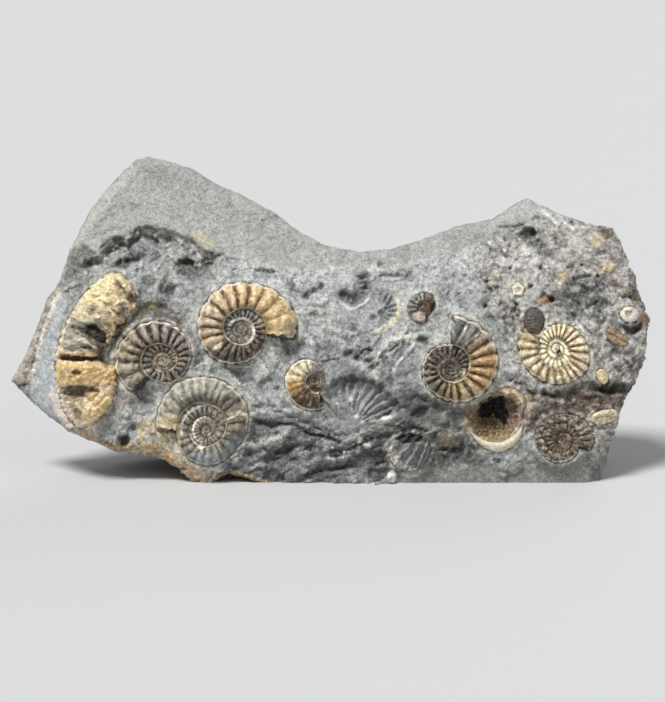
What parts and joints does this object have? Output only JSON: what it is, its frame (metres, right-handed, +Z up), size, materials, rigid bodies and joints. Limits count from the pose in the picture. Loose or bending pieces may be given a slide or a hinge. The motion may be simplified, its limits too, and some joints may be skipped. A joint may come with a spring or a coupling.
{
  "type": "fossil ammonite cluster",
  "caption": "Grey limestone block standing on a flat cut, with coiled ribbed ammonites, shell scraps and a crystal-lined hollow standing out of its leaning front face.",
  "frame": {"origin": "middle of the object's box, at the height of the flat cut it stands on", "axes": "+X along the block's length, to the right seen from the front; -Y out of the fossil face; +Z up"},
  "size_m": [0.1915, 0.0514, 0.0953],
  "materials": {
    "limestone": "matt, chalky grey, rough broken rock",
    "dark_shell": "satin dark brown calcite shell",
    "golden_shell": "satin golden brown calcite shell",
    "grey_shell": "satin grey-green calcite shell",
    "cream_shell": "satin cream calcite shell",
    "shell_lining": "smooth cream calcite",
    "crinoid": "matt cream calcite",
    "calcite_crystal": "lumpy tan calcite crystals, slightly glossy"
  },
  "bodies": {
    "root": {"limestone_block": "limestone", "large_broken_whorl": "cream_shell", "ammonite_left": "dark_shell", "ammonite_upper": "golden_shell", "ammonite_lower": "grey_shell", "ammonite_centre": "golden_shell", "ammonite_cream": "cream_shell", "ammonite_small_gold": "golden_shell", "ammonite_corner": "dark_shell", "ammonite_broken": "dark_shell", "shell_lining_lower": "shell_lining", "shell_lining_upper": "shell_lining", "five_sided_ossicle": "crinoid", "round_ossicle": "crinoid", "tan_shell_scrap": "cream_shell", "cream_shell_scrap": "cream_shell", "cream_shell_block": "cream_shell", "dark_shell_scrap": "dark_shell", "ribbed_scrap": "grey_shell", "crystal_crust": "calcite_crystal"}
  },
  "joints": []
}
